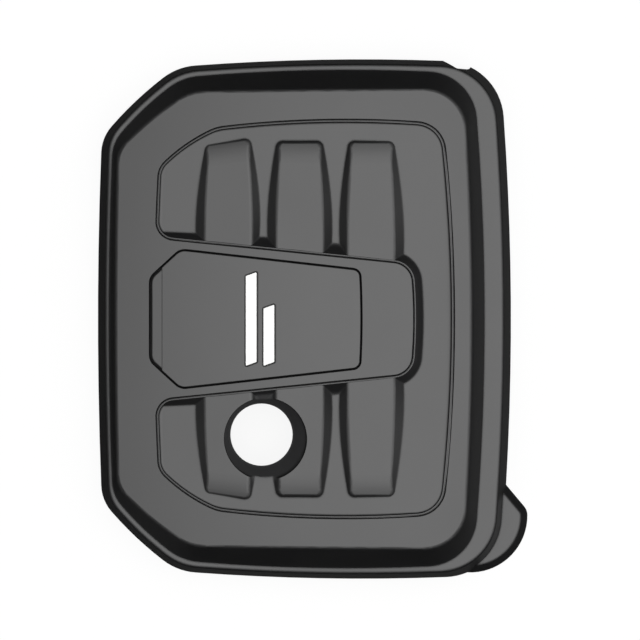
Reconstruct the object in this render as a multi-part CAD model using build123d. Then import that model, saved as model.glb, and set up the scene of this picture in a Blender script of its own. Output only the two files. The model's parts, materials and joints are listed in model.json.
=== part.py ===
from build123d import *
from collections import namedtuple
from math import asin, cos, degrees, radians, sin, sqrt, tan
import os

os.makedirs("parts", exist_ok=True)

# The cover lies as on the engine: X runs from the front of the engine to the rear, Y across the
# two cylinder banks, Z up. The skirt's foot is at Z = 0, and the overall box is centred on X and Y.

# Overall sizes, millimetres
body_length = 413.0
body_width = 519.4
rim_height = 40.0
wall = 2.8

# The top is crowned along X and, more gently, across Y
crown_height = 78.0
crown_radius = 1100.0
crown_cross_radius = 3000.0
crown_behind_middle = 28.0

# Plan outline at the skirt's foot: bowed sides, slanted front corners, round rear corners
corner_width = 78.7
corner_length = 80.1
front_bow = 3.8
corner_bow = 3.8
shoulder_fall = 7.5
tail_fall = 4.2
rear_bow = 11.5
side_apex_behind_middle = 57.0
nose_round = 42.0
shoulder_round = 60.0
tail_round = 60.0

# Each tier of the body is the foot outline drawn in by its own amounts
Inset = namedtuple("Inset", "front rear side nose shoulder round_off tail_off")
rim_inset = Inset(front=8.8, rear=8.4, side=6.6, nose=1.9, shoulder=3.8, round_off=2.0, tail_off=2.0)
wall_inset = Inset(front=12.5, rear=27.6, side=12.4, nose=6.6, shoulder=6.1, round_off=4.0, tail_off=10.0)
top_inset = Inset(front=27.7, rear=44.4, side=39.0, nose=34.6, shoulder=22.8, round_off=10.0, tail_off=16.0)
field_inset = Inset(front=60.6, rear=60.6, side=65.1, nose=32.8, shoulder=41.2, round_off=22.0, tail_off=33.0)
rim_edge_round = 3.2
top_edge_round = 5.0

# Service tab at one rear corner, and the hose notch in the skirt at the other
tab_reach = 16.5
tab_round = 57.0
tab_middle = 196.5
tab_start = 171.5
tab_slant = 50.0
tab_corner_round = 14.0
tab_height = 14.0
tab_draft = 27.0
tab_edge_round = 3.0
notch_from_rear = 42.0
notch_depth = 11.0
notch_lead = 15.0
notch_run = 13.0
notch_round = 5.0

# Sunk field around the tongue: its floor is flatter than the crown, and arched along X alone
field_depth = 10.6
field_radius = 2100.0
field_behind_middle = 51.0
field_cove = 2.0
neck_round = 16.0
tongue_root_half = 81.9
tongue_end_half = 56.0
tongue_end_gap = 35.6
tongue_end_bow = 3.0
tongue_round = 22.0
tongue_land = 0.3
tongue_slope = 45.0
tongue_wall_drop = 7.0
tongue_toe_cover = 0.3
tongue_overlap = 2.0

# Shadow line: a V-groove along the field's edge, with a narrow lip between them
lip_width = 1.1
groove_width = 1.8
groove_depth = 1.5
groove_slope = 1.4

# Runners that rise from the field, one row on each bank, leaning away from the middle one
runner_count = 3
runner_pitch = 70.3
runner_shift = -4.7
runner_half = 23.5
runner_end_half = 19.0
runner_swell = 1.2
runner_spread = 5.6
runner_lean = 2.0
runner_base_swell = 3.0
runner_sink = 1.0
runner_end_gap = 21.0
runner_end_run = 4.0
runner_corner_round = 7.0
runner_shoulder_round = 5.0
runner_first_turn = 8.0
runner_roll = 20.0
runner_roll_radius = 78.0
runner_roll_angle = 32.0
runner_clear = 1.5
runner_embed = 4.0

# Oil-filler funnel, leaning towards the tongue as it goes down
filler_top_radius = 43.0
filler_foot_radius = 31.8
filler_ahead = 42.4
filler_side = 114.6
filler_lean_x = 4.0
filler_lean_y = 5.5
filler_depth = 30.0
filler_lip = 1.0
filler_lip_height = 1.6

# Flush inlay panel in the tongue
recess_ahead = 7.7
recess_end_gap = 52.8
recess_nose_half = 41.5
recess_corner_length = 30.9
recess_shoulder_half = 69.6
recess_end_half = 49.5
recess_end_bow = 1.5
recess_front_round = 14.0
recess_end_round = 9.0
recess_depth = 5.0
recess_slope = 2.0
inlay_gap = 2.1
inlay_wall = 2.4
inlay_seat_clearance = 0.1
inlay_lip_length = 11.0
inlay_lip_step = 0.8
inlay_lip_round = 2.2
inlay_pin_radius = 2.0
inlay_pin_hole_clearance = 0.2
inlay_pin_stand = 2.6
inlay_pin_from_front = 48.0
inlay_pin_from_end = 24.0
inlay_pin_half = 32.0

# Two plain emblem bars side by side, let into the inlay
badge_from_end = 101.0
badge_width = 12.0
badge_long = 90.0
badge_short = 58.0
badge_split = 5.5
badge_slant = 20.0
badge_sink = 1.0
badge_stand = 1.0
badge_bevel = 0.7
badge_clearance = 0.6
badge_corner_round = 1.5

# Rubber sockets in towers under the four corners
tower_radius = 11.0
tower_foot = 22.0
front_tower_half = 105.0
rear_tower_behind_middle = 103.0
rear_tower_out = 3.0
socket_radius = 8.0
socket_depth = 13.0
socket_clearance = 0.1
stud_radius = 5.0
stud_depth = 11.0
stud_lead_in = 1.5
grommet_flange = 3.0
gusset_thickness = 2.0
gusset_length = 13.0
gusset_drop = 24.0

# Foam pad under the field, on moulded pins with push-on washers
pad_thickness = 12.0
pad_bond = 0.2
pad_edge_gap = 5.0
pad_filler_gap = 4.0
pad_pin_radius = 2.5
pad_pin_clearance = 0.5
pad_pin_stand = 4.0
pad_pin_half = 128.0
pad_pin_from_rear = 21.0
pad_pin_from_front = 17.0
washer_radius = 8.0
inlay_washer_radius = 6.0
washer_thickness = 1.0
washer_grip_clearance = 0.1
washer_seat_clearance = 0.1

# Values that follow from the sizes above
Outline = namedtuple("Outline", "front rear half nose shoulder nose_round shoulder_round tail_round")
front_edge = -(body_length + tab_reach) / 2
rear_edge = front_edge + body_length
middle = (front_edge + rear_edge) / 2
half_width = body_width / 2
crown_x = middle + crown_behind_middle
crown_axis = crown_height - crown_cross_radius
crown_sweep = 2 * degrees(asin(body_width / crown_cross_radius))
field_x = middle + field_behind_middle
field_height = crown_height - field_depth
above_all = crown_height + rim_height
corner_share = 0.4
no_inset = Inset(0, 0, 0, 0, 0, 0, 0)
upward = (0, 0, 1)


def tier(inset, skin=0.0):
    """The foot outline drawn in by an inset, and by a further even skin."""
    round_off = inset.round_off + skin
    return Outline(
        front=front_edge + inset.front + skin,
        rear=rear_edge - inset.rear - skin,
        half=half_width - inset.side - skin,
        nose=half_width - corner_width - inset.nose - corner_share * skin,
        shoulder=front_edge + corner_length + inset.shoulder + corner_share * skin,
        nose_round=nose_round - round_off,
        shoulder_round=shoulder_round - round_off,
        tail_round=tail_round - inset.tail_off - skin,
    )


def mirrored(point):
    return Vector(point.X, -point.Y)


def round_corners(face, point, radius):
    """Round the face's corners at a point and at its mirror image across X."""
    corners = [face.vertices().sort_by_distance(p)[0] for p in (point, mirrored(point))]
    return face.fillet_2d(radius, corners)


def shield(outline):
    """Plan face of a tier: bowed sides, slanted front corners and round rear corners."""
    nose = Vector(outline.front + front_bow, outline.nose)
    shoulder = Vector(outline.shoulder, outline.half - shoulder_fall)
    tail = Vector(outline.rear - rear_bow, outline.half - tail_fall)
    slant = shoulder - nose
    slant_middle = nose + slant / 2 + Vector(-slant.Y, slant.X).normalized() * corner_bow
    side_apex = Vector(middle + side_apex_behind_middle, outline.half)
    left = [ThreePointArc(nose, slant_middle, shoulder), ThreePointArc(shoulder, side_apex, tail)]
    right = [arc.mirror(Plane.XZ) for arc in left]
    front = ThreePointArc(mirrored(nose), Vector(outline.front, 0), nose)
    rear = ThreePointArc(tail, Vector(outline.rear, 0), mirrored(tail))
    face = Face(Wire(left + right + [front, rear]))
    face = round_corners(face, nose, outline.nose_round)
    face = round_corners(face, shoulder, outline.shoulder_round)
    return round_corners(face, tail, outline.tail_round)


def crown_level(x, y=0.0, drop=0.0):
    """Height of the crowned top over a plan point, lowered by a drop along its own normal."""
    along = crown_height - crown_radius + sqrt((crown_radius - drop) ** 2 - (x - crown_x) ** 2)
    return crown_axis + sqrt((along - crown_axis) ** 2 - y**2)


def field_level(x, drop=0.0):
    """Height of the field's floor at x, lowered by a drop along its own normal."""
    return field_height - field_radius + sqrt((field_radius - drop) ** 2 - (x - field_x) ** 2)


def under_arch(apex, level):
    """Side-view face under an arch that a level function gives."""
    start, end = front_edge - wall, rear_edge + tab_reach + wall
    top = ThreePointArc(*[(x, level(x)) for x in (start, apex, end)])
    sides = Polyline(top @ 1, (end, -above_all), (start, -above_all), top @ 0)
    return Plane.XZ * make_face(top + sides)


def under_crown(drop):
    """Everything under the crowned top lowered by a drop."""
    arch = under_arch(crown_x, lambda x: crown_level(x, 0.0, drop))
    axis = Axis((0, 0, crown_axis), (1, 0, 0))
    return revolve(arch.rotate(axis, -crown_sweep / 2), axis, crown_sweep)


def under_field(drop):
    """Everything under the field's floor lowered by a drop."""
    arch = under_arch(field_x, lambda x: field_level(x, drop))
    return extrude(arch, body_width, both=True)


def crown_plane(x, y):
    """Plane that touches the crowned top over a plan point, with its normal up."""
    lean = (x - crown_x) / crown_radius
    tilt = y / (crown_level(x) - crown_axis)
    upright, level = sqrt(1 - lean**2), sqrt(1 - tilt**2)
    along = (upright, -lean * tilt, -lean * level)
    return Plane(origin=(x, y, crown_level(x, y)), x_dir=along, z_dir=(lean, upright * tilt, upright * level))


def field_plane(x, y):
    """Plane that touches the field's floor at a plan point, with its normal up."""
    lean = (x - field_x) / field_radius
    upright = sqrt(1 - lean**2)
    return Plane(origin=(x, y, field_level(x)), x_dir=(upright, 0, -lean), z_dir=(lean, 0, upright))


def column(face):
    """A plan face as a column from the foot to above the crown."""
    return extrude(face, above_all, dir=upward)


def below_crown_cut(face, drop):
    """Cutter that sinks a plan face into the crowned top to an even depth."""
    return column(face) - under_crown(drop)


def lower_body(skin, rounded):
    """Drafted skirt up to the rim flange."""
    foot = shield(tier(no_inset, skin))
    rim = Pos(0, 0, rim_height - skin) * shield(tier(rim_inset, skin))
    body = loft([foot, rim], ruled=True)
    if rounded:
        body = fillet(body.faces().sort_by(Axis.Z)[-1].edges(), rim_edge_round)
    return body - notch(skin)


def upper_body(skin, rounded):
    """Raised centre: slanted wall from the flange up to the crowned top."""
    rise = crown_height - rim_height
    run = top_inset.side - wall_inset.side
    slant_skin = skin * sqrt(rise**2 + run**2) / rise
    base = Pos(0, 0, rim_height - skin) * shield(tier(wall_inset, slant_skin))
    top = Pos(0, 0, crown_height) * shield(tier(top_inset, slant_skin))
    body = loft([base, top], ruled=True) & under_crown(skin)
    if rounded:
        crown_face = body.faces().sort_by(Axis.Z)[-1]
        body = fillet(crown_face.edges(), top_edge_round)
    return body


def tab_body(skin, rounded):
    """Low tab that stands out from the skirt at one rear corner."""
    circle = Pos(rear_edge + tab_reach - tab_round, -tab_middle) * Circle(tab_round - skin)
    side = 2 * tab_round
    inward = Vector(-sin(radians(tab_slant)), -cos(radians(tab_slant)))
    edge = Vector(rear_edge, -tab_start) + inward * (skin + side / 2)
    plan = circle & (Pos(edge.X, edge.Y) * Rot(0, 0, 90 - tab_slant) * Rectangle(side, 2 * side))
    plan = plan.faces()[0]
    corner = plan.vertices().sort_by(Axis.X)[-1]
    plan = plan.fillet_2d(tab_corner_round - skin, [corner])
    body = extrude(plan, tab_height - skin, dir=upward, taper=tab_draft)
    if rounded:
        body = fillet(body.faces().sort_by(Axis.Z)[-1].edges(), tab_edge_round)
    return body


def notch(skin):
    """Column outside the skirt's hose notch."""
    end = rear_edge - notch_from_rear
    floor = half_width - notch_depth - skin
    outside = half_width + notch_depth
    path = [
        (end - notch_lead - notch_run - skin - notch_depth, outside),
        (end - notch_lead - notch_run - skin, half_width),
        (end - notch_run - skin, floor),
        (end + skin, floor),
        (end + notch_depth + skin, outside),
    ]
    face = make_face(Polyline(*path, close=True)).faces()[0]
    corners = face.vertices().sort_by(Axis.Y)[:3]
    return extrude(face.fillet_2d(notch_round, corners), rim_height, dir=upward)


def tongue_half(x):
    """Half width of the tongue at x, along its straight flank."""
    root = tier(field_inset).front
    end = tier(field_inset).rear - tongue_end_gap - tongue_end_bow
    return tongue_root_half + (tongue_end_half - tongue_root_half) * (x - root) / (end - root)


def tongue_face(skin):
    """Plan of the tongue, open to the front, where it joins the raised centre."""
    root = tier(field_inset).front - field_inset.front / 2
    end = tier(field_inset).rear - tongue_end_gap - skin
    corner = Vector(end - tongue_end_bow, tongue_half(end - tongue_end_bow) - skin)
    start = Vector(root, tongue_half(root) - skin)
    flank = Polyline(mirrored(corner), mirrored(start), start, corner)
    rear = ThreePointArc(corner, Vector(end, 0), mirrored(corner))
    face = make_face(flank + rear).faces()[0]
    return round_corners(face, corner, tongue_round - skin)


def field_face(skin):
    """Plan of the sunk field: the inner tier less the tongue, grown by a skin."""
    outline = tier(field_inset, -skin)
    face = (shield(outline) - tongue_face(skin)).faces()[0]
    neck = Vector(outline.front, tongue_half(outline.front) - skin)
    return round_corners(face, neck, neck_round + skin)


def field_cut(skin, rounded):
    cutter = column(field_face(skin)) - under_field(skin)
    if rounded:
        cutter = fillet(cutter.faces().sort_by(Axis.Z)[0].edges(), field_cove)
    return cutter


def tongue_wall(skin):
    """Slanted wall with a cove at its foot, swept along the tongue's edge."""
    tongue = column(tongue_face(skin)) & under_crown(skin + tongue_land)
    edge = Wire(tongue.faces().sort_by(Axis.Z)[-1].edges().sort_by(Axis.X)[1:])
    start, along = edge @ 0, edge % 0
    outward = Vector(along.Y, -along.X).normalized()
    if outward.Y * start.Y < 0:
        outward = -outward
    slope = radians(tongue_slope)
    depth = field_depth + tongue_toe_cover
    foot = Vector(tongue_wall_drop / tan(slope), -tongue_wall_drop)
    cove_radius = (depth - tongue_wall_drop) / (1 - cos(slope))
    toe = Vector(foot.X + cove_radius * sin(slope), -depth)
    face = Line((0, 0), foot)
    cove = TangentArc(foot, toe, tangent=face % 1)
    under = -depth - wall
    back = Polyline(toe, (toe.X, under), (-tongue_overlap, under), (-tongue_overlap, 0), (0, 0))
    section = Plane(origin=start, x_dir=outward, z_dir=outward.cross(Vector(upward)))
    return sweep(section * make_face(face + cove + back), path=edge)


def runner_place(order):
    """X of a runner's top, and its place in the row counted from the middle one."""
    rank = order - (runner_count - 1) / 2
    return middle + runner_shift + runner_pitch * rank, rank


def runner(order, skin, rounded):
    """One runner of the left bank: barrel-shaped flanks, round shoulders and a rolled outer end."""
    x, rank = runner_place(order)
    turn = runner_first_turn if order == 0 else 0.0
    spreads = {-1: runner_spread - runner_lean * rank, 1: runner_spread + runner_lean * rank}
    root = tongue_half(x + runner_half) - tongue_overlap
    end = tier(field_inset).half - runner_end_gap
    waist = (root + end) / 2
    height = crown_level(x, waist, runner_sink) - field_level(x)
    seat = crown_plane(x, waist) * Pos(0, 0, -runner_sink)

    def plan(depth):
        """Plan at a depth under the top: each flank spreads by its own run as it goes down."""
        share = depth / height
        arcs = []
        for sign, spread in spreads.items():
            out = spread * share - skin * sqrt(1 + (spread / height) ** 2)
            near, far = runner_half + out, runner_end_half + out
            swollen = (near + far) / 2 + runner_swell + runner_base_swell * share
            tip = end - waist + runner_end_run * share - skin + sign * far * tan(radians(turn))
            heel = root - waist - 2 * skin
            arcs.append(ThreePointArc((sign * near, heel), (sign * swollen, 0), (sign * far, tip)))
        front, rear = arcs
        face = Face(Wire([front, Line(front @ 1, rear @ 1), rear, Line(rear @ 0, front @ 0)]))
        corners = face.vertices().sort_by(Axis.Y)[2:]
        return seat * Pos(0, 0, -depth) * face.fillet_2d(runner_corner_round, corners)

    flanks = loft([plan(height + skin + runner_embed), plan(-runner_clear)], ruled=True)
    radius = runner_roll_radius - skin
    fall = radians(runner_roll_angle)
    tip = Vector(radius * sin(fall), radius * (cos(fall) - 1))
    roll = ThreePointArc((0, 0), (radius * sin(fall / 2), radius * (cos(fall / 2) - 1)), tip)
    sides = Polyline(tip, (tip.X, -above_all), (-body_width, -above_all), (-body_width, 0), (0, 0))
    profile = extrude(Plane.YZ * make_face(roll + sides), runner_pitch, both=True)
    body = flanks & (seat * Pos(0, end - waist - runner_roll, -skin) * Rot(0, 0, turn) * profile)
    if rounded:
        flat = body.faces().sort_by_distance(seat.position)[0].edges()
        rolled = body.faces().filter_by(GeomType.CYLINDER).sort_by(SortBy.AREA)[-1].edges()
        rim = ((flat - rolled) + (rolled - flat)).sort_by(Axis.Y)[1:]
        body = fillet(rim, runner_shoulder_round)
    return body


def recess_face(skin):
    """Plan of the inlay's recess, grown by a skin."""
    front = tier(field_inset).front - recess_ahead
    end = tier(field_inset).rear - tongue_end_gap - recess_end_gap
    nose = Vector(front, recess_nose_half)
    shoulder = Vector(front + recess_corner_length, recess_shoulder_half)
    tail = Vector(end - recess_end_bow, recess_end_half)
    sides = Polyline(mirrored(tail), mirrored(shoulder), mirrored(nose), nose, shoulder, tail)
    rear = ThreePointArc(tail, Vector(end, 0), mirrored(tail))
    face = make_face(sides + rear).faces()[0]
    face = round_corners(face, nose, recess_front_round)
    face = round_corners(face, shoulder, recess_front_round)
    face = round_corners(face, tail, recess_end_round)
    if skin:
        face = offset(face, skin).faces()[0]
    return face


def recess_cut(skin, rounded):
    """Recess of the inlay, with a slope round its floor under the gap."""
    cutter = below_crown_cut(recess_face(skin), recess_depth + skin)
    if rounded:
        cutter = chamfer(cutter.faces().sort_by(Axis.Z)[0].edges(), recess_slope)
    return cutter


def filler_cut(skin):
    """Leaning funnel of the oil filler, from its lip to above the crown."""
    foot_x, foot_y = middle - filler_ahead, -filler_side
    foot_z = crown_height - filler_depth
    reach = (above_all - foot_z) / filler_depth
    top_radius = filler_foot_radius + (filler_top_radius - filler_foot_radius) * reach
    foot = Pos(foot_x, foot_y, foot_z) * Circle(filler_foot_radius + skin)
    top_x, top_y = foot_x + filler_lean_x * reach, foot_y - filler_lean_y * reach
    top = Pos(top_x, top_y, above_all) * Circle(top_radius + skin)
    hole = Pos(foot_x, foot_y, foot_z - filler_lip_height) * Circle(filler_foot_radius + skin - filler_lip)
    return loft([foot, top], ruled=True) + extrude(hole, filler_depth, dir=upward)


def cover_form(skin, rounded):
    """The cover's outer form as a solid, drawn in evenly by a skin."""
    form = lower_body(skin, rounded) + tab_body(skin, rounded) + upper_body(skin, rounded)
    form = form - field_cut(skin, rounded) + tongue_wall(skin)
    for order in range(runner_count):
        left = runner(order, skin, rounded)
        form = form + left + left.mirror(Plane.XZ)
    form = form - recess_cut(skin, rounded)
    return form - filler_cut(skin)


def stud(plane, top, foot, radius):
    """Round stud square to a surface, between two depths under it."""
    return plane * Pos(0, 0, -foot) * extrude(Circle(radius), foot - top)


def ring(plane, top, radius, bore):
    """Washer square to a surface, with its top face at a depth under it."""
    washer = extrude(Circle(radius) - Circle(bore), washer_thickness)
    return plane * Pos(0, 0, -top - washer_thickness) * washer


def both_banks(places):
    return [(x, side * y) for x, y in places for side in (1, -1)]


def inlay_pin_planes():
    plan = recess_face(0.0).bounding_box()
    columns = (plan.min.X + inlay_pin_from_front, plan.max.X - inlay_pin_from_end)
    return [crown_plane(x, y) for x, y in both_banks([(x, inlay_pin_half) for x in columns])]


def pad_pin_planes():
    field = tier(field_inset)
    last_land = sum(runner_place(order)[0] for order in (runner_count - 2, runner_count - 1)) / 2
    columns = (field.front + pad_pin_from_front, last_land, field.rear - pad_pin_from_rear)
    return [field_plane(x, y) for x, y in both_banks([(x, pad_pin_half) for x in columns])]


def front_tower_x():
    return (tier(top_inset).front + tier(field_inset).front) / 2


def rear_tower_half():
    return (tier(top_inset).half + tier(field_inset).half) / 2 + rear_tower_out


def tower(x, y, turn):
    """Tower with a gusset on each side, up through the crown and still without its socket."""
    ceiling = crown_level(x, y) - wall
    post = Pos(x, y, tower_foot) * extrude(Circle(tower_radius), above_all)
    reach = tower_radius + gusset_length
    half_web = Polyline(
        (0, above_all),
        (reach, above_all),
        (reach, ceiling),
        (tower_radius, ceiling - gusset_drop),
        (0, ceiling - gusset_drop),
    )
    web = make_face(half_web + half_web.mirror(Plane.YZ))
    web = Pos(x, y, 0) * Rot(0, 0, turn) * extrude(Plane.XZ * web, gusset_thickness / 2, both=True)
    return post + web


def grommet(x, y):
    """Rubber socket: flange under the tower, plug in its bore, blind hole for the ball stud."""
    mouth = tower_foot - grommet_flange
    plug_radius = socket_radius - socket_clearance
    plug_top = tower_foot + socket_depth - socket_clearance
    profile = Polyline(
        (0, mouth + stud_depth),
        (stud_radius, mouth + stud_depth),
        (stud_radius, mouth + stud_lead_in),
        (stud_radius + stud_lead_in, mouth),
        (tower_radius, mouth),
        (tower_radius, tower_foot),
        (plug_radius, tower_foot),
        (plug_radius, plug_top),
        (0, plug_top),
        close=True,
    )
    return Pos(x, y) * revolve(Plane.XZ * make_face(profile), Axis.Z)


def badge_plan(across, length, grow):
    """Slant-ended bar of the emblem, centred at a place across the emblem's row."""
    near, far = across - badge_width / 2, across + badge_width / 2
    rise = tan(radians(badge_slant)) * badge_width / 2
    start = -badge_long / 2
    end = start + length
    corners = [(near, start - rise), (far, start + rise), (far, end + rise), (near, end - rise)]
    face = make_face(Polyline(*corners, close=True)).faces()[0]
    face = face.fillet_2d(badge_corner_round, face.vertices())
    if grow:
        face = offset(face, grow).faces()[0]
    return face


def badge_bar(across, length, grow, top):
    x = tier(field_inset).rear - tongue_end_gap - recess_end_gap - badge_from_end
    bar = Pos(0, 0, -badge_sink) * extrude(badge_plan(across, length, grow), badge_sink + top, dir=upward)
    if not grow:
        bar = chamfer(bar.faces().sort_by(Axis.Z)[-1].edges(), badge_bevel)
    return crown_plane(x, 0) * bar


socket_places = {
    "grommet_front_left": (front_tower_x(), front_tower_half, 90),
    "grommet_front_right": (front_tower_x(), -front_tower_half, 90),
    "grommet_rear_left": (middle + rear_tower_behind_middle, rear_tower_half(), 0),
    "grommet_rear_right": (middle + rear_tower_behind_middle, -rear_tower_half(), 0),
}
badge_step = (badge_width + badge_split) / 2
badge_bars = {"badge_bar_long": (-badge_step, badge_long), "badge_bar_short": (badge_step, badge_short)}
recess_underside = recess_depth + wall
pad_top = wall + pad_bond
pad_foot = pad_top + pad_thickness

# The hollow under the shell, which leaves the towers and the pad's pins standing
towers = [tower(x, y, turn) for x, y, turn in socket_places.values()]
pad_pins = [stud(plane, 0.0, pad_foot + pad_pin_stand, pad_pin_radius) for plane in pad_pin_planes()]
hollow = cover_form(wall, False) - towers - pad_pins

# The moulded shell
shadow_line = below_crown_cut(field_face(lip_width + groove_width) - field_face(lip_width), groove_depth)
shadow_line = chamfer(shadow_line.faces().sort_by(Axis.Z)[0].outer_wire().edges(), groove_slope)
cover_shell = cover_form(0.0, True) - hollow - shadow_line
bore = extrude(Circle(socket_radius), socket_depth)
cover_shell -= [Pos(x, y, tower_foot) * bore for x, y, turn in socket_places.values()]
pin_hole = inlay_pin_radius + inlay_pin_hole_clearance
hole_top, hole_foot = recess_depth - wall / 2, recess_underside + wall / 2
cover_shell -= [stud(plane, hole_top, hole_foot, pin_hole) for plane in inlay_pin_planes()]

# The inlay panel: a hollow plate on pins, with a stepped lip at its front
inlay_plan = offset(recess_face(0.0), -inlay_gap).faces()[0]
inlay_seat = recess_depth - inlay_seat_clearance
badge_inlay = (column(inlay_plan) & under_crown(0.0)) - under_crown(inlay_seat)
inlay_core = offset(inlay_plan, -inlay_wall).faces()[0]
badge_inlay -= (column(inlay_core) & under_crown(inlay_wall)) - under_crown(recess_depth)
lip_end = inlay_plan.bounding_box().min.X + inlay_lip_length
lip_plan = Pos(lip_end - inlay_lip_length, 0) * Rectangle(2 * inlay_lip_length, body_width)
badge_inlay -= below_crown_cut(lip_plan, inlay_lip_step)
lip_top = badge_inlay.faces().filter_by(lambda face: face.center().X < lip_end).sort_by(Axis.Z)[-1]
badge_inlay = fillet(lip_top.edges().sort_by(Axis.X)[:-1], inlay_lip_round)
for plane in inlay_pin_planes():
    badge_inlay += stud(plane, inlay_wall / 2, recess_underside + inlay_pin_stand, inlay_pin_radius)
for across, length in badge_bars.values():
    badge_inlay -= badge_bar(across, length, badge_clearance, recess_depth)

# Foam pad with holes for the pins and the filler funnel
pad_plan = shield(tier(field_inset, pad_edge_gap))
acoustic_pad = (column(pad_plan) & under_field(pad_top)) - under_field(pad_foot)
acoustic_pad -= filler_cut(wall + pad_filler_gap)
for plane in pad_pin_planes():
    acoustic_pad -= stud(plane, 0.0, pad_foot + pad_pin_stand, pad_pin_radius + pad_pin_clearance)

# Push-on washers
pad_washer_top = pad_foot + washer_seat_clearance
pad_bore = pad_pin_radius + washer_grip_clearance
pad_washers = Compound([ring(plane, pad_washer_top, washer_radius, pad_bore) for plane in pad_pin_planes()])
inlay_washer_top = recess_underside + washer_seat_clearance
inlay_bore = inlay_pin_radius + washer_grip_clearance
inlay_washers = Compound([
    ring(plane, inlay_washer_top, inlay_washer_radius, inlay_bore) for plane in inlay_pin_planes()
])

nodes = {
    "cover_shell": cover_shell,
    "badge_inlay": badge_inlay,
    "acoustic_pad": acoustic_pad,
    "pad_washers": pad_washers,
    "inlay_washers": inlay_washers,
    **{name: badge_bar(across, length, 0.0, badge_stand) for name, (across, length) in badge_bars.items()},
    **{name: grommet(x, y) for name, (x, y, turn) in socket_places.items()},
}
for name, node in nodes.items():
    export_step(node, f"parts/{name}.step")
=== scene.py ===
import json
import bpy
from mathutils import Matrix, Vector, kdtree, noise


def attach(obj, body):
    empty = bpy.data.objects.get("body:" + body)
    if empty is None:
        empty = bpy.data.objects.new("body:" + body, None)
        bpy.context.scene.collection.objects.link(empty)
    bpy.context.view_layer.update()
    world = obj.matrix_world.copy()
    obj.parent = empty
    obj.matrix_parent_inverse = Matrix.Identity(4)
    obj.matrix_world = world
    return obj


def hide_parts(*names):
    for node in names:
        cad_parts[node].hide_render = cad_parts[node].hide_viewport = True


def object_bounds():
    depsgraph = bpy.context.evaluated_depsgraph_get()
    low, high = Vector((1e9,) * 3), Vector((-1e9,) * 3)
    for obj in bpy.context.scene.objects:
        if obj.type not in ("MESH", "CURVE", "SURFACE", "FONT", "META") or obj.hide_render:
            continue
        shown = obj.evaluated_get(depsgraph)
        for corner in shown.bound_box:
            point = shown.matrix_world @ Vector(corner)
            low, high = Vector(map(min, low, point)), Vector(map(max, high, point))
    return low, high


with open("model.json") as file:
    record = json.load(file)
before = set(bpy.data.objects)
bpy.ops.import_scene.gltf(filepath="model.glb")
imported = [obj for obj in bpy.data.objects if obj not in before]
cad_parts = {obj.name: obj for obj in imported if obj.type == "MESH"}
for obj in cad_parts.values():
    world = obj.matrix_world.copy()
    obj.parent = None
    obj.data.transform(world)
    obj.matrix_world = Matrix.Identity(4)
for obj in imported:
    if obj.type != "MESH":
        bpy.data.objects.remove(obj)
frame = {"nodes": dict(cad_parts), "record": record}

cad_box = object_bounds()
scene = bpy.context.scene
scene.view_settings.view_transform = "Standard"

# Camera: a long lens straight above the cover, as in a catalogue picture. One picture point is
# one millimetre on the surface that the cover lies on.
camera_over = Vector((0.0073, -0.001, 0.0))
picture_width = 0.640
camera_data = bpy.data.cameras.new("camera")
camera_data.sensor_width = 36.0
camera_data.lens = 300.0
camera_height = picture_width * camera_data.lens / camera_data.sensor_width
camera = bpy.data.objects.new("camera", camera_data)
scene.collection.objects.link(camera)
camera.location = camera_over + Vector((0, 0, camera_height))
scene.camera = camera


# Studio: white paper under one wide soft light overhead, which leans to the cover's rear and fades
# towards the horizon, faster on the left and right. The paper is left out of reflections, so steep
# walls stay dark, and a faint glow ahead, behind and below keeps the skirt from going black.
overhead_light = 2.80
light_lean = 0.12
light_narrowing = 2.5
light_side_narrowing = 3.0
horizon_glow = 0.25
horizon_narrowing = 20.0
floor_sheen = 0.07
floor_sheen_narrowing = 3.0
paper_size = 24.0
paper_colour = (0.93, 0.93, 0.93, 1)
paper_glow = 0.88


class Value:
    """A node socket, so that shader maths reads as an expression."""

    def __init__(self, tree, socket):
        self.tree = tree
        self.socket = socket

    def node(self, kind, settings=None, output=0, **inputs):
        """A node of a kind: its settings first, then its sockets by name, or by number as _0."""
        made = self.tree.nodes.new(kind)
        for name, setting in (settings or {}).items():
            setattr(made, name, setting)
        for name, value in inputs.items():
            key = int(name[1:]) if name[0] == "_" else name.replace("_", " ")
            if isinstance(value, Value):
                self.tree.links.new(value.socket, made.inputs[key])
            else:
                made.inputs[key].default_value = value
        return Value(self.tree, made.outputs[output])

    def axes(self):
        """The x, y and z of a vector."""
        split = self.node("ShaderNodeSeparateXYZ", _0=self).socket.node
        return [Value(self.tree, output) for output in split.outputs]

    def maths(self, operation, first, second=0.0, clamp=False):
        settings = {"operation": operation, "use_clamp": clamp}
        return self.node("ShaderNodeMath", settings, _0=first, _1=second)

    def __add__(self, other):
        return self.maths("ADD", self, other)

    def __radd__(self, other):
        return self.maths("ADD", other, self)

    def __sub__(self, other):
        return self.maths("SUBTRACT", self, other)

    def __rsub__(self, other):
        return self.maths("SUBTRACT", other, self)

    def __mul__(self, other):
        return self.maths("MULTIPLY", self, other)

    def __rmul__(self, other):
        return self.maths("MULTIPLY", other, self)

    def __truediv__(self, other):
        return self.maths("DIVIDE", self, other)

    def __rtruediv__(self, other):
        return self.maths("DIVIDE", other, self)

    def __pow__(self, other):
        return self.maths("POWER", self, other)

    def __rpow__(self, other):
        return self.maths("POWER", other, self)


def finish(name, **constants):
    """A new material with its constant sockets set, and the surface that its shader gives."""
    material = bpy.data.materials.new(name)
    material.use_nodes = True
    shader = material.node_tree.nodes["Principled BSDF"]
    for socket, value in constants.items():
        shader.inputs[socket.replace("_", " ")].default_value = value
    return material, Value(material.node_tree, shader.outputs["BSDF"])


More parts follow.
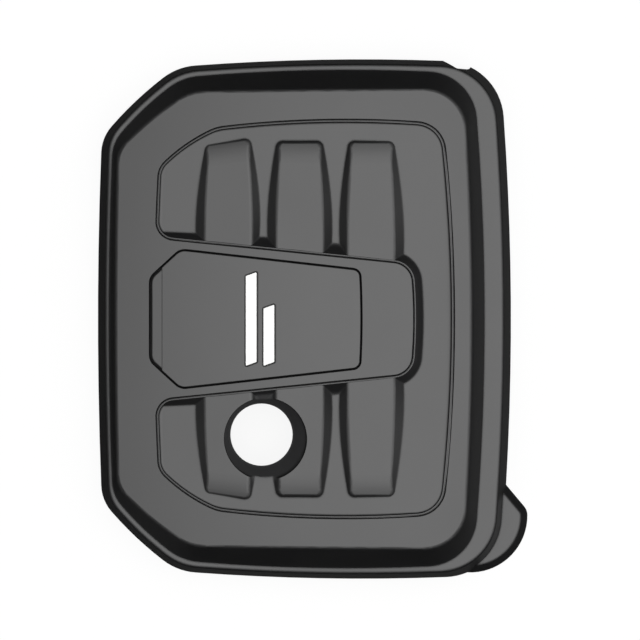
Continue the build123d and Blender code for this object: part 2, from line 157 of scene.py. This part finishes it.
world = bpy.data.worlds.new("studio")
scene.world = world
world.use_nodes = True
sky = world.node_tree
background = sky.nodes["Background"]
direction = Value(sky, sky.nodes.new("ShaderNodeTexCoord").outputs["Generated"])
rearward, sideways, upward = direction.axes()
towards_light = upward.maths("MAXIMUM", light_lean * rearward + upward, 0.0)
overhead = overhead_light * towards_light ** (light_narrowing + light_side_narrowing * sideways * sideways)
towards_floor = upward.maths("MAXIMUM", -1 * upward, 0.0)
sheen = floor_sheen * (1 + rearward) * towards_floor ** floor_sheen_narrowing
horizon = horizon_glow * (1 - sideways * sideways) * (1 - upward * upward) ** horizon_narrowing
sky_level = overhead + sheen + horizon
background.inputs["Color"].default_value = (1, 1, 1, 1)
sky.links.new(sky_level.socket, background.inputs["Strength"])

bpy.ops.mesh.primitive_plane_add(size=paper_size)
paper = bpy.context.object
paper.name = "paper"
paper.visible_glossy = False
paper_finish, paper_surface = finish(
    "paper_white", Base_Color=paper_colour, Roughness=1.0, Specular_IOR_Level=0.0
)
paper_seen, paper_mirrored, paper_through = [
    paper_surface.node("ShaderNodeLightPath", output=ray)
    for ray in ("Is Camera Ray", "Is Glossy Ray", "Is Transmission Ray")
]
paper_bright = paper_surface.node("ShaderNodeEmission", Strength=1.0)
paper_share = paper_glow * (paper_seen + paper_mirrored + paper_through)
paper_mix = paper_surface.node("ShaderNodeMixShader", _0=paper_share, _1=paper_surface, _2=paper_bright)
paper_tree = paper_finish.node_tree
paper_tree.links.new(paper_mix.socket, paper_tree.nodes["Material Output"].inputs["Surface"])
paper.data.materials.append(paper_finish)


# Cover shell: one large moulding in glass-filled black nylon, from a tool with a fine eroded grain.
# The rim, the slanted wall, the sunk field, the runners and the filler funnel are all one piece. Lips
# on the crown are crisp, folds below it are soft, and the funnel is rougher, with a lighter grey
# painted into its colour as a painted sheen, in place of the light that its slope catches.
shell_dark = (0.0055, 0.0055, 0.0058, 1)
shell_pale = (0.0085, 0.0085, 0.0088, 1)
shell_roughness = 0.30
shell_cloud_roughness = 0.06
shell_grain_roughness = 0.06
shell_grain_size = 0.0008
shell_grain_depth = 0.00003
shell_pits_per_grain = 0.6
shell_pit_share = 0.7
shell_edge_round = 0.0006
shell_fold_round = 0.0035
shell_crown_middle = 0.01975
shell_crown_radius = 1.1
shell_crown_cross_radius = 3.0
shell_lip_depth = 0.0025
shell_fold_depth = 0.0050
# Painted sheen: the funnel's colour is painted a lighter grey to stand in for the light on its wall, and its
# roughness is raised as well.
funnel_painted_sheen = (0.034, 0.034, 0.035, 1)
funnel_dulling_roughness = 0.15
funnel_sheen_least = 0.6
funnel_sheen_clouds = 0.8
funnel_radius = 0.043
funnel_fade_radius = 0.0473


def mottle(space, per_metre, detail):
    """Noise with so many cells to the metre, and finer cells inside them."""
    return space.node("ShaderNodeTexNoise", Vector=space, Scale=per_metre, Detail=detail)


def relief(height, depth, strength, **over):
    """Fine relief of a depth in metres, on the surface itself or over another normal."""
    return height.node("ShaderNodeBump", Strength=strength, Distance=depth, Height=height, **over)


def rounded(space, radius, samples=6):
    """The normal of a surface whose edges are rounded to a radius in metres."""
    return space.node("ShaderNodeBevel", {"samples": samples}, Radius=radius)


def between(value, start, end):
    """0 up to the start, 1 from the end on, and even steps between them."""
    return value.node("ShaderNodeMapRange", {"clamp": True}, _0=value, _1=start, _2=end)


def blend(share, first, second):
    """A colour between two colours, by a share that varies over the surface."""
    return share.node("ShaderNodeMix", {"data_type": "RGBA"}, output=2, _0=share, _6=first, _7=second)


def connect(surface, **values):
    """Link what varies over a surface to the sockets of its shader."""
    shader = surface.socket.node
    for socket, value in values.items():
        surface.tree.links.new(value.socket, shader.inputs[socket.replace("_", " ")])


def dress(names, material):
    """Give CAD nodes a material in every slot."""
    for name in names:
        for slot in frame["nodes"][name].material_slots:
            slot.material = material


shell_finish, shell_surface = finish("shell_plastic", Specular_IOR_Level=0.8)
shell_space = shell_surface.node("ShaderNodeTexCoord", output="Object")
shell_x, shell_y, shell_z = shell_space.axes()
shell_clouds = mottle(shell_space, per_metre=14.0, detail=4.0)
shell_grain = mottle(shell_space, per_metre=1 / shell_grain_size, detail=2.0)
shell_pits = shell_space.node(
    "ShaderNodeTexVoronoi", Vector=shell_space, Scale=shell_pits_per_grain / shell_grain_size
)

shell_fall_along = (shell_x - shell_crown_middle) ** 2 / (2 * shell_crown_radius)
shell_fall_across = shell_y ** 2 / (2 * shell_crown_cross_radius)
shell_depth = cad_box[1][2] - (shell_fall_along + shell_fall_across) - shell_z
shell_below = between(shell_depth, shell_lip_depth, shell_fold_depth)
shell_normal = shell_space.node(
    "ShaderNodeMix",
    {"data_type": "VECTOR"},
    output=1,
    _0=shell_below,
    _4=rounded(shell_space, shell_edge_round),
    _5=rounded(shell_space, shell_fold_round, samples=8),
)
shell_texture = shell_grain + shell_pit_share * shell_pits
shell_bump = relief(shell_texture, shell_grain_depth, strength=0.5, Normal=shell_normal)

openings = {opening["name"]: opening["box_m"] for opening in frame["record"]["physics"]["openings"]}
funnel_low, funnel_high = [Vector(corner) for corner in openings["oil_filler_hole"]]
funnel_middle = (funnel_low + funnel_high) / 2
funnel_far = (shell_x - funnel_middle.x) ** 2 + (shell_y - funnel_middle.y) ** 2
funnel_share = between(funnel_far, funnel_fade_radius ** 2, funnel_radius ** 2)
# Mask of the funnel's painted sheen and its higher roughness, below the lips and inside the funnel.
funnel_dulling_and_painted_sheen = shell_below * funnel_share * (funnel_sheen_least + funnel_sheen_clouds * shell_clouds)
shell_dullness = shell_roughness + shell_cloud_roughness * shell_clouds + shell_grain_roughness * shell_grain
connect(
    shell_surface,
    Base_Color=blend(funnel_dulling_and_painted_sheen, blend(shell_clouds, shell_dark, shell_pale), funnel_painted_sheen),
    Roughness=shell_dullness + funnel_dulling_roughness * funnel_dulling_and_painted_sheen,
    Normal=shell_bump,
)
dress(["cover_shell"], shell_finish)


# Inlay panel: a separate moulding in the same nylon, with a slightly smoother grain. It drops into
# the tongue's recess and is held from below by four pins with push-on washers.
inlay_dark = (0.0060, 0.0060, 0.0063, 1)
inlay_pale = (0.0085, 0.0085, 0.0088, 1)
inlay_roughness = 0.29
inlay_cloud_roughness = 0.05
inlay_grain_roughness = 0.05
inlay_grain_size = 0.0006
inlay_grain_depth = 0.00002
inlay_edge_round = 0.0008
inlay_finish, inlay_surface = finish("inlay_plastic", Specular_IOR_Level=0.8)
inlay_space = inlay_surface.node("ShaderNodeTexCoord", output="Object")
inlay_clouds = mottle(inlay_space, per_metre=20.0, detail=3.0)
inlay_grain = mottle(inlay_space, per_metre=1 / inlay_grain_size, detail=2.0)
inlay_edges = rounded(inlay_space, inlay_edge_round)
connect(
    inlay_surface,
    Base_Color=blend(inlay_clouds, inlay_dark, inlay_pale),
    Roughness=inlay_roughness + inlay_cloud_roughness * inlay_clouds + inlay_grain_roughness * inlay_grain,
    Normal=relief(inlay_grain, inlay_grain_depth, strength=0.5, Normal=inlay_edges),
)
dress(["badge_inlay"], inlay_finish)


# Emblem bars: two plain bars in white gloss plastic, pressed into pockets in the inlay. Their flanks
# are painted black as painted shade for the gap around them, so each bar has a thin dark outline; the
# white is a hard lacquer on the top face alone.
bar_white = (0.86, 0.86, 0.85, 1)
# Painted shade: black on the flanks stands in for the shade in the gap around each bar.
bar_flank_painted_shade = (0.008, 0.008, 0.008, 1)
bar_lacquer = 0.4
bar_roughness = 0.26
bar_speck_roughness = 0.10
bar_wave_depth = 0.00002
bar_flank_facing = 0.85
bar_top_facing = 0.95
bar_finish, bar_surface = finish("badge_white", Coat_Roughness=0.08)
bar_space = bar_surface.node("ShaderNodeTexCoord", output="Object")
bar_facing = bar_surface.node("ShaderNodeNewGeometry", output="True Normal").axes()[2]
bar_top = between(bar_facing, bar_flank_facing, bar_top_facing)
bar_specks = mottle(bar_space, per_metre=900.0, detail=2.0)
bar_waves = mottle(bar_space, per_metre=160.0, detail=1.0)
connect(
    bar_surface,
    # The flanks get the painted black shade and the top face gets the white.
    Base_Color=blend(bar_top, bar_flank_painted_shade, bar_white),
    Roughness=bar_roughness + bar_speck_roughness * bar_specks,
    Coat_Weight=bar_lacquer * bar_top,
    Normal=relief(bar_waves, bar_wave_depth, strength=0.3),
)
dress(["badge_bar_long", "badge_bar_short"], bar_finish)


# Acoustic pad: a sheet of charcoal open-cell foam, cut to the field's outline and pushed over six
# moulded pins. The foam swells a little between the washers, is pressed in under them, and is soft
# along its cut edges.
pad_weld = 0.00005
pad_voxel = 0.0035
pad_smoothing = 6
pad_swell = 0.0012
pad_press = 0.0008
pad_press_reach = 0.045
pad_facing_down = -0.5
pad_cell_size = 0.0016
pad_cell_depth = 0.0004
pad_lump_size = 3 * pad_cell_size
pad_lump_height = 0.0004
pad_dark = (0.016, 0.016, 0.017, 1)
pad_pale = (0.050, 0.050, 0.053, 1)
foam_fuzz_per_cell = 2.5
foam_fuzz_share = 0.5
foam_cell_pallor = 0.9
foam_blotch_pallor = 0.5
foam_roughness = 0.88
foam_fuzz_roughness = 0.12

pad_copy = bpy.data.objects.new("pad_copy", frame["nodes"]["acoustic_pad"].data.copy())
scene.collection.objects.link(pad_copy)
weld = pad_copy.modifiers.new("weld", "WELD")
weld.merge_threshold = pad_weld
remesh = pad_copy.modifiers.new("remesh", "REMESH")
remesh.mode = "VOXEL"
remesh.voxel_size = pad_voxel
soften = pad_copy.modifiers.new("soften", "SMOOTH")
soften.factor = 0.5
soften.iterations = pad_smoothing
pad_mesh = bpy.data.meshes.new_from_object(pad_copy.evaluated_get(bpy.context.evaluated_depsgraph_get()))
pad_mesh.name = "foam_pad"
bpy.data.objects.remove(pad_copy)
pad = bpy.data.objects.new("foam_pad", pad_mesh)
scene.collection.objects.link(pad)

washer_corners = frame["nodes"]["pad_washers"].data.vertices
washer_plan = kdtree.KDTree(len(washer_corners))
for corner in washer_corners:
    washer_plan.insert((corner.co.x, corner.co.y, 0.0), corner.index)
washer_plan.balance()
for vertex in pad_mesh.vertices:
    place = vertex.co
    nearest = washer_plan.find((place.x, place.y, 0.0))[2]
    free = min(nearest / pad_press_reach, 1.0)
    loose = free * free * (3 - 2 * free)
    lump = pad_lump_height * noise.noise(place / pad_lump_size)
    if vertex.normal.z < pad_facing_down:
        place.z += pad_press * (1 - loose) - (pad_swell + lump) * loose
pad_mesh.polygons.foreach_set("use_smooth", [True] * len(pad_mesh.polygons))

foam_finish, foam_surface = finish("pad_foam", Specular_IOR_Level=0.15, Sheen_Weight=0.25)
foam_space = foam_surface.node("ShaderNodeTexCoord", output="Object")
foam_cells = foam_space.node("ShaderNodeTexVoronoi", Vector=foam_space, Scale=1 / pad_cell_size)
foam_blotches = mottle(foam_space, per_metre=45.0, detail=5.0)
foam_fuzz = mottle(foam_space, per_metre=foam_fuzz_per_cell / pad_cell_size, detail=3.0)
foam_pallor = foam_cell_pallor * foam_cells + foam_blotch_pallor * foam_blotches
foam_share = foam_cells.maths("ADD", foam_pallor, clamp=True)
connect(
    foam_surface,
    Base_Color=blend(foam_share, pad_dark, pad_pale),
    Roughness=foam_roughness + foam_fuzz_roughness * foam_fuzz,
    Normal=relief(foam_cells + foam_fuzz_share * foam_fuzz, pad_cell_depth, strength=0.9),
)
pad_mesh.materials.clear()
pad_mesh.materials.append(foam_finish)
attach(pad, "root")
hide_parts("acoustic_pad")


# Push-on washers: stamped from zinc-plated spring steel strip, with the strip's rolling lines still
# on them. They are pressed over the pad's pins and over the inlay's pins and can't be pulled back.
steel_dark = (0.46, 0.46, 0.47, 1)
steel_pale = (0.62, 0.62, 0.63, 1)
steel_roughness = 0.28
steel_line_roughness = 0.14
steel_bloom_roughness = 0.08
steel_lines_per_metre = (40.0, 4000.0, 40.0)
steel_line_depth = 0.00002
steel_finish, steel_surface = finish("washer_steel", Metallic=1.0)
steel_space = steel_surface.node("ShaderNodeTexCoord", output="Object")
steel_strip = steel_space.node(
    "ShaderNodeVectorMath", {"operation": "MULTIPLY"}, _0=steel_space, _1=steel_lines_per_metre
)
steel_lines = mottle(steel_strip, per_metre=1.0, detail=3.0)
steel_bloom = mottle(steel_space, per_metre=260.0, detail=3.0)
connect(
    steel_surface,
    Base_Color=blend(steel_bloom, steel_dark, steel_pale),
    Roughness=steel_roughness + steel_line_roughness * steel_lines + steel_bloom_roughness * steel_bloom,
    Normal=relief(steel_lines, steel_line_depth, strength=0.4),
)
dress(["pad_washers", "inlay_washers"], steel_finish)


# Stud sockets: four moulded rubber grommets, pressed up into the towers. Each has a flange below
# the tower and a blind bore that snaps over a ball stud on the engine.
rubber_dark = (0.010, 0.010, 0.010, 1)
rubber_pale = (0.024, 0.024, 0.025, 1)
rubber_roughness = 0.58
rubber_bloom_roughness = 0.16
rubber_skin_depth = 0.00003
rubber_edge_round = 0.0006
rubber_finish, rubber_surface = finish("socket_rubber", Specular_IOR_Level=0.35)
rubber_space = rubber_surface.node("ShaderNodeTexCoord", output="Object")
rubber_bloom = mottle(rubber_space, per_metre=220.0, detail=4.0)
rubber_skin = mottle(rubber_space, per_metre=2400.0, detail=2.0)
rubber_edges = rounded(rubber_space, rubber_edge_round)
connect(
    rubber_surface,
    Base_Color=blend(rubber_bloom, rubber_dark, rubber_pale),
    Roughness=rubber_roughness + rubber_bloom_roughness * rubber_bloom,
    Normal=relief(rubber_skin, rubber_skin_depth, strength=0.4, Normal=rubber_edges),
)
sockets = [f"grommet_{end}_{side}" for end in ("front", "rear") for side in ("left", "right")]
dress(sockets, rubber_finish)
